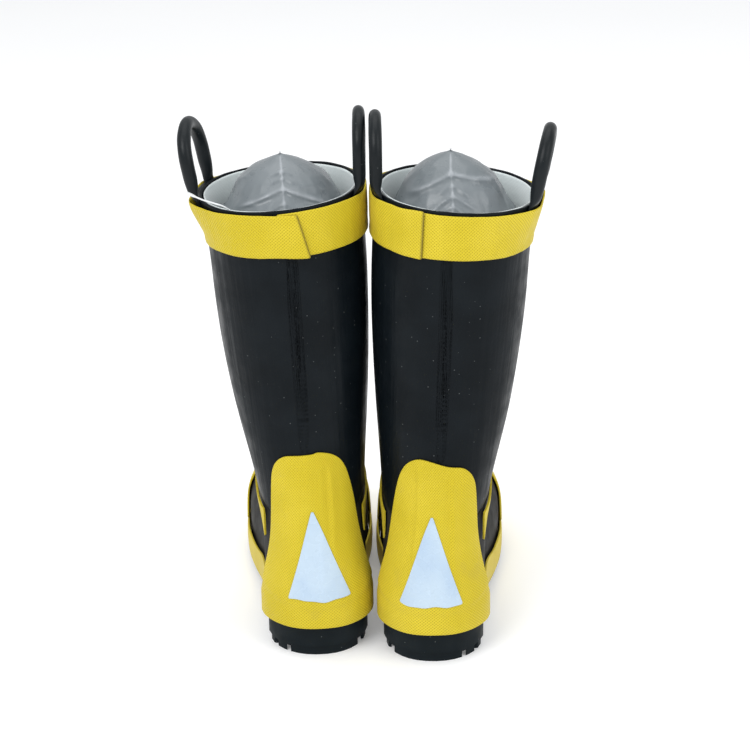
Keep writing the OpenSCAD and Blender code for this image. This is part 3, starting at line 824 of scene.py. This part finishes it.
def build_heel(boot):
    """The counter with its ridges and uneven upper edge, and the reflector laid over it."""
    counter = cage(boot, "heel_counter", 3, 0.5)
    top = boot.box("heel_counter")[1][2]
    sheet_low, sheet_high = boot.box("heel_reflector")

    def relief(co):
        angle, radius, z = heel_flatten(boot)(co)
        u = angle * radius / MM
        back = smooth((30 - np.abs(u)) / 12)
        amount = 0.3 * ripple(co, 0.022, 1.3 * boot.sign)
        # The ridges fade out at both ends and beside the reflector
        fade = smooth((z - (top - 0.105)) / 0.03) * smooth((top - 0.006 - z) / 0.012)
        half = 22 * np.clip((sheet_high[2] + 0.004 - z) / (sheet_high[2] - sheet_low[2]), 0, 1)
        fade = fade * smooth((np.abs(u) - half + 0.5) / 4.0)
        for place, depth, width in HEEL_RIDGES[boot.side]:
            wander = u - place - 1.2 * np.sin(z * 60)
            amount += depth * np.tanh(wander / width) * bell(wander / (width * 4)) * fade * back
        # One soft ridge runs on under the reflector
        inside = smooth((z - sheet_low[2]) / 0.012) * smooth((sheet_high[2] - 0.012 - z) / 0.02)
        amount += 0.35 * np.tanh((u - 1.5) / 1.2) * bell((u - 1.5) / 5) * inside
        # A low ledge runs around the heel where the skirt begins
        ledge = 0.043 + 0.006 * np.square(u / 38)
        amount += 0.42 * np.tanh((z - ledge) / 0.0016) * bell((z - ledge) / 0.007)
        return amount

    displace(boot, counter, relief)
    co = boot.local(get_points(counter))
    angle, radius, z = heel_flatten(boot)(co)
    u = angle * radius / MM
    near_top = smooth((z - (top - 0.045)) / 0.04)
    # The right counter's edge falls toward the outer side, and the left one's has a small step
    if boot.side == "right":
        co[:, 2] -= 6.5 * MM * smooth((u + 14) / 40) * near_top
    else:
        co[:, 2] += (0.7 * smooth((u + 3) / 5) - 0.5 + 1.2 * bell((u - 4) / 9)) * MM * near_top
    set_points(counter, boot.world(co))
    surface_uv(boot, counter, heel_flatten(boot))
    finish_piece(boot, counter, "heel_counter")

    sheet = cage(boot, "heel_reflector", 3, 0.42)
    surface_uv(boot, sheet, heel_flatten(boot))
    tree = tree_of(counter.data)
    normals = vertex_normals(sheet) @ boot.axes.T
    co = boot.local(get_points(sheet))
    share = (co[:, 2] - sheet_low[2]) / (sheet_high[2] - sheet_low[2])
    co[:, 0] += REFLECTOR_LEAN[boot.side] * MM * share
    wave = np.sin(co[:, 0] / MM * 0.19 + boot.sign) + 0.5 * np.sin(co[:, 0] / MM * 0.41)
    co[:, 2] += 0.7 * MM * wave * (1 - share) ** 3
    # The sheet follows the counter's relief. Its face stands proud and its back lies close.
    for i, p in enumerate(co):
        inward = np.array([-p[0], -p[1], 0.0])
        inward /= np.linalg.norm(inward)
        found = boot.cast(tree, p - inward * 0.05, inward)
        if found is not None:
            face = float(smooth((0.4 - normals[i] @ inward) / 0.8))
            co[i, :2] = found[:2] - inward[:2] * (SHEET_STAND + SHEET_THICK * face)
    set_points(sheet, boot.world(co))
    finish_piece(boot, sheet, "heel_reflector")


# ---------- foot


FOOT_RADIUS = 0.048
FOOT_AXIS_HEIGHT = 0.028


def foot_flatten(boot):
    """Unrolls the foot around a level axis. Over the instep the length follows the slope."""
    def flatten(co):
        toward_toe = smooth((co[:, 1] - 0.15) / 0.1)
        middle = -0.003 * toward_toe
        angle = np.arctan2(co[:, 2] - FOOT_AXIS_HEIGHT, (co[:, 0] - middle) * boot.sign)
        instep = 1 - toward_toe
        along = co[:, 1] * (1 - 0.3 * instep) - co[:, 2] * 0.65 * instep
        return angle, FOOT_RADIUS, along

    return flatten


SOLE_EDGE_ANGLE = math.radians(32)  # sharper edges of the sole are bevelled


def build_foot(boot):
    """The foot's rubber pieces, with a faint unevenness, and the sole with its edges softened."""
    for node, levels, crease, amount in (
        ("vamp", 2, 0.3, 0.25),
        ("instep_saddle", 3, 0.5, 0.3),
        ("toe_guard", 3, 0.5, 0.2),
        ("foxing_band", 3, 0.5, 0.15),
    ):
        piece = cage(boot, node, levels, crease)
        displace(boot, piece, lambda co: amount * ripple(co, 0.025, 2.2 * boot.sign))
        surface_uv(boot, piece, foot_flatten(boot))
        finish_piece(boot, piece, node)

    bm = cad_copy(boot, "outsole")
    bmesh.ops.dissolve_limit(bm, angle_limit=0.01, verts=bm.verts, edges=bm.edges)
    sole = make(f"{boot.side}_tread_sole", *take_lists(bm))
    bevel = sole.modifiers.new("edge", "BEVEL")
    bevel.width = 0.55 * MM
    bevel.segments = 2
    bevel.limit_method = "ANGLE"
    bevel.angle_limit = SOLE_EDGE_ANGLE
    apply_modifiers(sole)
    sole.data.shade_smooth()
    sole.data.set_sharp_from_angle(angle=SOLE_EDGE_ANGLE)
    surface_uv(boot, sole, foot_flatten(boot))
    finish_piece(boot, sole, "outsole")


# ---------- pull loops


def swept(boot, name, centres, wide_axes, thick_axes, sizes, powers, sides=20):
    """A closed tube through a row of superellipse sections, given in the boot's frame."""
    verts = []
    for p, wide_axis, thick_axis, (wide, thick), n in zip(
            centres, wide_axes, thick_axes, sizes, powers):
        for k in range(sides):
            t = 2 * math.pi * k / sides
            x = math.copysign(abs(math.cos(t)) ** (2 / n), math.cos(t)) * wide
            y = math.copysign(abs(math.sin(t)) ** (2 / n), math.sin(t)) * thick
            verts.append(boot.world(p + wide_axis * x + thick_axis * y))
    faces = grid_faces(len(centres), sides, loop=True)
    last = (len(centres) - 1) * sides
    faces += [list(range(sides))[::-1], [last + k for k in range(sides)]]
    return make(name, verts, faces, 1)


TAB_DEPTH = 15.0  # how far a loop's feet reach below its hinge line, in millimetres
RIM_DROP = 9.5  # the shaft is measured at least this far below the hinge line, in millimetres
CROWN_STEPS = 22
# Two heights from the hinge line; build_loop works out a point at each of them, and nothing uses them
BLEND_START, BLEND_END = -2.5 * MM, 5.0 * MM


def build_loop(boot, which):
    """A pull loop: a round cord whose two legs turn into flat feet under the band."""
    hinge, h, up, out, half, cord, straight = hinge_line(boot, which)
    tree = boot.tree("shaft")
    low, high = boot.box("top_band")
    centre = (low + high)[:2] / 2
    highest = hinge[2] - RIM_DROP * MM
    flare = FOOT_FLARE[boot.side, which]

    def foot(side, height, stand):
        """A point at a distance outside the shaft under a foot, and the direction outward."""
        p = hinge + h * side * half
        d = np.array([*(p[:2] - centre), 0.0])
        d /= np.linalg.norm(d)
        z = p[2] + height * MM
        found = boot.cast(tree, np.array([*centre, min(z, highest)]) + d * OUTSIDE, -d)
        found = np.array([found[0], found[1], z])
        return found + d * stand * MM, d

    def leg(side):
        """Sections from the flat foot under the band up to the round cord.

        Each is a centre, two axes, two half widths and the power of its superellipse.
        """
        rows = []
        under = 0.5 + 0.28 * flare
        # Height, distance off the shaft, how flat it lies, half width, half thickness and power
        table = (
            (-TAB_DEPTH, under, 1.0, 7.0, 0.6, 3.4), (-11.5, under + 0.1, 1.0, 7.4, 0.8, 3.2),
            (-8.6, under + 0.35, 0.95, 7.0, 1.2, 2.8), (-5.8, under + 1.3, 0.8, 6.4, 2.2, 2.4),
            (-2.6, under + 2.6, 0.5, 5.9, 3.5, 2.1), (1.4, 4.3, 0.2, 5.4, 4.5, 2.0),
        )
        for height, stand, flat, wide, thick, n in table:
            p, d = foot(side, height, stand)
            cord_point = hinge + h * side * half + up * height * MM
            risen = float(smooth((height + 6.5) / 11))
            p = p * (1 - risen) + cord_point * risen
            tangent = np.array([-d[1], d[0], 0.0])
            if tangent @ h * side < 0:
                tangent = -tangent
            wide_axis = tangent * flat + h * side * (1 - flat)
            wide_axis /= np.linalg.norm(wide_axis)
            normal = d * flat + out * (1 - flat)
            normal -= wide_axis * (normal @ wide_axis)
            normal /= np.linalg.norm(normal)
            rows.append((p, wide_axis, normal, (wide * MM, thick * MM), n))
        leg_line = hinge + h * side * half
        rows.append((leg_line + up * 5.5 * MM, h * side, out, (5.1 * MM, 4.9 * MM), 2.0))
        for t in (0.45, 0.75):
            rows.append((leg_line + up * straight * t, h * side, out, (cord, cord * 0.98), 2.0))
        return rows

    crown = []
    for i in range(CROWN_STEPS + 1):
        t = math.pi * (1 - i / CROWN_STEPS)
        p = hinge + h * math.cos(t) * half + up * (straight + math.sin(t) * half)
        radial = h * math.cos(t) + up * math.sin(t)
        crown_pinch = 1 - 0.10 * math.sin(t) ** 6
        crown.append((p, radial, out, (cord * 0.98, cord * crown_pinch), 2.0))
    sections = leg(-1) + crown + leg(1)[::-1]
    centres, wide_axes, thick_axes, sizes, powers = map(list, zip(*sections))
    # Both axes keep one turning sense along the tube
    wide_axes[0] = -wide_axes[0]
    for axes in (wide_axes, thick_axes):
        for i in range(1, len(axes)):
            if axes[i] @ axes[i - 1] < 0:
                axes[i] = -axes[i]
    name = f"{boot.side}_{which}_pull_loop"
    loop = swept(boot, name, centres, wide_axes, thick_axes, sizes, powers)
    displace(boot, loop, lambda c: 0.16 * ripple(c, 0.012, 4.0))
    dress(boot, loop, f"{which}_loop")
    start, end = (
        Vector(boot.world(hinge + np.array([0, 0, z]))) for z in (BLEND_START, BLEND_END))
    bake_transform(loop)


# ---------- stuffing bag

# Arched folds of the bag's film: drop below the peak at the middle, slope toward the inner and the
# outer side, reach sideways, height and width. All but the slopes are in millimetres.
FOLDS = {
    "left": [
        (9.5, 0.2, 0.2, 11, 0.8, 1.0), (13.5, 0.26, 0.28, 10, 0.7, 0.9),
        (20, 0.24, 0.27, 40, 1.3, 1.6), (29, 0.3, 0.34, 20, 0.8, 1.3),
    ],
    "right": [
        (12, 0.24, 0.12, 40, 1.3, 1.5), (17.5, 0.34, 0.4, 13, 0.8, 1.0),
        (23, 0.46, 0.4, 20, 1.0, 1.2), (29, 0.5, 0.5, 12, 0.8, 1.0),
    ],
}
# Sideways place and rise of each bag's peak, in millimetres outward and up
PEAKS = {"left": (0.0, 0.0), "right": (-3.4, 3.6)}
BAG_COLUMNS = 128
BASE_LIFT = 1 * MM  # how far the middle of the bag's base lies above its CAD box


def build_bag(boot):
    """A film bag over crumpled paper: arched folds near its peak, a seam line and loose creases."""
    low, high = boot.box("stuffing_bag")
    tree = boot.tree("stuffing_bag")
    co = boot.vertices("stuffing_bag")
    peak = co[co[:, 2] > high[2] - 0.004].mean(0)[:2]
    foot = co[co[:, 2] < low[2] + 0.02].mean(0)[:2]
    span = (high[2] - low[2]) / MM
    columns = BAG_COLUMNS
    # Rings are close together near the peak, where the folds are. A drop is in millimetres.
    drops = np.concatenate([
        np.linspace(0.0, 3.0, 4), np.linspace(4.2, 48, 44), np.linspace(50, span - 7, 26)])
    slide, rise = PEAKS[boot.side]
    rings, folds = [], []
    for drop in drops:
        z = high[2] - drop * MM
        axis = peak + (foot - peak) * drop / span
        for c in range(columns):
            a = 2 * math.pi * c / columns
            d = np.array([math.cos(a), math.sin(a), 0.0])
            found = boot.cast(tree, np.array([*axis, min(z, high[2] - 1.2 * MM)]), d)
            reach = 1.0 if found is None else (found[:2] - axis) @ d[:2] / MM
            # The film lies inside the CAD solid, fuller at its shoulders and drawn in to a point
            reach *= 0.93 + 0.03 * float(smooth((drop - 40) / 30))
            reach += 4.6 * float(bell((drop - 19) / 11)) * abs(math.cos(a))
            reach -= 2.6 * float(bell((drop - 5) / 3.5))
            reach *= float(smooth(drop / 5.5)) ** 0.6 * 0.96 + 0.04
            x, y = reach * d[0], reach * d[1]
            fold = 0.0
            for start, fall_in, fall_out, wide, tall, narrow in FOLDS[boot.side]:
                line = start + (fall_in if x < 0 else fall_out) * abs(x) ** 1.12
                gate = float(smooth((wide - abs(x)) / (0.35 * wide)))
                gap = (drop - line) / narrow
                crest = math.exp(-gap * gap)
                furrow = 0.55 * math.exp(-((gap - 2.1) / 1.5) ** 2)
                fold += gate * tall * (crest - furrow)
            seam = math.exp(-(x / 1.1) ** 2) * float(smooth(reach / 8))
            spot = Vector((x, y, drop)) / 17.0
            crumple = noise.noise(spot + Vector((boot.sign, 2, 0))) + 0.5 * noise.noise(spot * 2.3)
            crease_spot = Vector((x, y, drop)) / 11.0 + Vector((7, boot.sign, 3))
            ridge = 1 - abs(noise.noise(crease_spot)) * 2
            body = float(smooth((drop - 34) / 20))
            push = fold + 0.9 * seam + (0.9 + 1.6 * body) * crumple
            push += (0.5 + 1.4 * body) * max(0.0, ridge) ** 3
            push *= float(smooth((reach - 1) / 9))
            side = 1.4 * math.sin(a * 9 + drop * 0.12 + boot.sign) * body
            point = np.array([*(axis + d[:2] * (reach + push - 1.2 + side) * MM), z])
            lean = 1 - float(smooth(drop / 30))
            point += np.array([slide * lean, 0.0, rise * lean]) * MM
            rings.append(point)
            # Painted highlight: how much lighter the film is painted at this point, along folds, seam and crease
            # ridges
            folds.append(max(0.0, 0.75 * seam + 0.5 * fold + 0.25 * max(0.0, ridge) ** 6))
    bottom = np.array([*foot, low[2] + BASE_LIFT])
    tip = np.array([peak[0] + slide * MM, peak[1], high[2] + (rise - 0.1) * MM])
    last_ring = rings[-columns:]
    base_shares = (0.8, 0.5, 0.2)
    for share in base_shares:
        for p in last_ring:
            q = bottom + (p - bottom) * share
            q[2] = bottom[2] + (p[2] - bottom[2]) * share ** 2
            rings.append(q)
            folds.append(0.1)
    count = len(drops) + len(base_shares)
    faces = grid_faces(count, columns, loop=True)
    rings += [tip, bottom]
    folds += [1.0, 0.0]
    for c in range(columns):
        k = (c + 1) % columns
        faces.append([count * columns, k, c])
        faces.append([count * columns + 1, (count - 1) * columns + c, (count - 1) * columns + k])
    bag = make(f"{boot.side}_film_bag", boot.world(rings), faces)
    fold_highlight_values = bag.data.attributes.new("fold", "FLOAT", "POINT")
    fold_highlight_values.data.foreach_set("value", folds)
    surface_uv(boot, bag, leg_flatten(boot, BAG_RADIUS))
    dress(boot, bag, "stuffing_bag")
    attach(bag, f"{boot.side}_bag_body")


# ---------- tag tie


TAIL_SECTIONS = 9
# Sections of the paddle at the tie's end: distance past the tail, half width, half thickness, in mm
PADDLE = [(1.5, 1.9, 0.7), (3.0, 2.5, 0.8), (6.0, 2.5, 0.8), (8.5, 1.8, 0.6)]


def build_tie(boot):
    """The tie's thin tail and its flat paddle, drawn along the CAD piece."""
    low, high = boot.box("tag_tie")
    co = boot.vertices("tag_tie")
    stops = np.linspace(low[0] + 0.6 * MM, high[0] - 9 * MM, TAIL_SECTIONS)
    rough = []
    for x in stops:
        near = co[np.abs(co[:, 0] - x) < 5.5 * MM]
        rough.append(np.array([x, *near[:, 1:].mean(0)]))
    middle = [(a + b * 2 + c) / 4 for a, b, c in zip(rough, rough[1:], rough[2:])]
    centres = [rough[0], *middle, rough[-1]]
    run = centres[-1] - centres[-2]
    run /= np.linalg.norm(run)
    centres += [rough[-1] + run * distance * MM for distance, _, _ in PADDLE]
    sizes = [(0.6, 0.6)] * TAIL_SECTIONS + [(wide, thick) for _, wide, thick in PADDLE]
    sizes = [(wide * MM, thick * MM) for wide, thick in sizes]
    powers = [2.0] * TAIL_SECTIONS + [3.5] * len(PADDLE)
    wide_axes = [np.array([0.0, 1.0, 0.0])] * len(centres)
    thick_axes = [np.array([-0.25, 0.0, 0.97])] * len(centres)
    name = f"{boot.side}_tag_tail"
    tie = swept(boot, name, centres, wide_axes, thick_axes, sizes, powers, sides=12)
    finish_piece(boot, tie, "tag_tie")


for side in ("left", "right"):
    boot = Boot(side)
    build_leg(boot)
    build_band(boot)
    build_heel(boot)
    build_foot(boot)
    build_loop(boot, "outer")
    build_loop(boot, "inner")
    build_bag(boot)
    if side == "left":
        build_tie(boot)

# The parts hidden inside the boots keep their CAD solids, and get their materials
for name, obj in NODES.items():
    if not obj.hide_render:
        for slot in obj.material_slots:
            slot.material = M[SLOT[name]]


# ---------- stage, light and camera


FLOOR_HALF = 14.0


def build_stage():
    """A pale floor and an even, slightly cool sky."""
    mesh = bpy.data.meshes.new("floor")
    corners = [(x * FLOOR_HALF, y * FLOOR_HALF, 0) for x, y in ((-1, -1), (1, -1), (1, 1), (-1, 1))]
    mesh.from_pydata(corners, [], [[0, 1, 2, 3]])
    floor = link("floor", mesh)
    s = Shader("pale_floor", (0.90, 0.90, 0.90), 0.85)
    s.set("Base Color", s.mix(s.noise(1.5, 2), (0.90, 0.90, 0.905), (0.94, 0.94, 0.94)))
    s.set("Emission Color", (1.0, 1.0, 1.0, 1.0))
    s.set("Emission Strength", 0.16)
    mesh.materials.append(s.material)
    world = bpy.data.worlds.new("studio")
    world.use_nodes = True
    sky = world.node_tree.nodes["Background"]
    sky.inputs["Color"].default_value = (0.97, 0.985, 1.0, 1)
    sky.inputs["Strength"].default_value = 0.75
    bpy.context.scene.world = world


def soft_light(name, place, size, power):
    """A soft box aimed at the middle of the boots."""
    data = bpy.data.lights.new(name, "AREA")
    data.shape = "RECTANGLE"
    data.size, data.size_y = size
    data.energy = power
    lamp = link(name, data)
    lamp.location = place
    lamp.rotation_mode = "QUATERNION"
    lamp.rotation_quaternion = (AIM - Vector(place)).to_track_quat("-Z", "Y")


AIM = Vector((0.0, 0.0, 0.2))
build_stage()
soft_light("key", (-1.2, -1.6, 2.1), (1.4, 1.4), 30)
soft_light("fill", (1.7, -1.3, 1.5), (1.4, 1.6), 14)
soft_light("top", (0.0, 0.3, 2.4), (2.0, 2.0), 16)

# The camera stands behind the heels, nearly in the middle of the pair, and looks down on them
CAMERA_SIDE, CAMERA_BACK, CAMERA_HEIGHT = 0.0029, 1.350, 0.754
TILT, ROLL = math.radians(90 - 21), math.radians(-1.0)
HEEL_REACH = 0.043  # from the middle of the heel tread to the back of the heel
heel_mount = next(m for m in RECORD["mounts"] if m["name"] == "left_heel_tread")
heel_back = heel_mount["pos_m"][1] - HEEL_REACH
camera_data = bpy.data.cameras.new("camera")
camera_data.lens = 93.8
camera_data.sensor_width = 36
camera = link("camera", camera_data)
camera.location = (CAMERA_SIDE, heel_back - CAMERA_BACK, CAMERA_HEIGHT)
camera.rotation_mode = "QUATERNION"
camera.rotation_quaternion = Euler((TILT, 0, 0)).to_quaternion() @ Quaternion((0, 0, 1), ROLL)
scene = bpy.context.scene
scene.camera = camera
scene.view_settings.view_transform = "Standard"
scene.view_settings.look = "None"
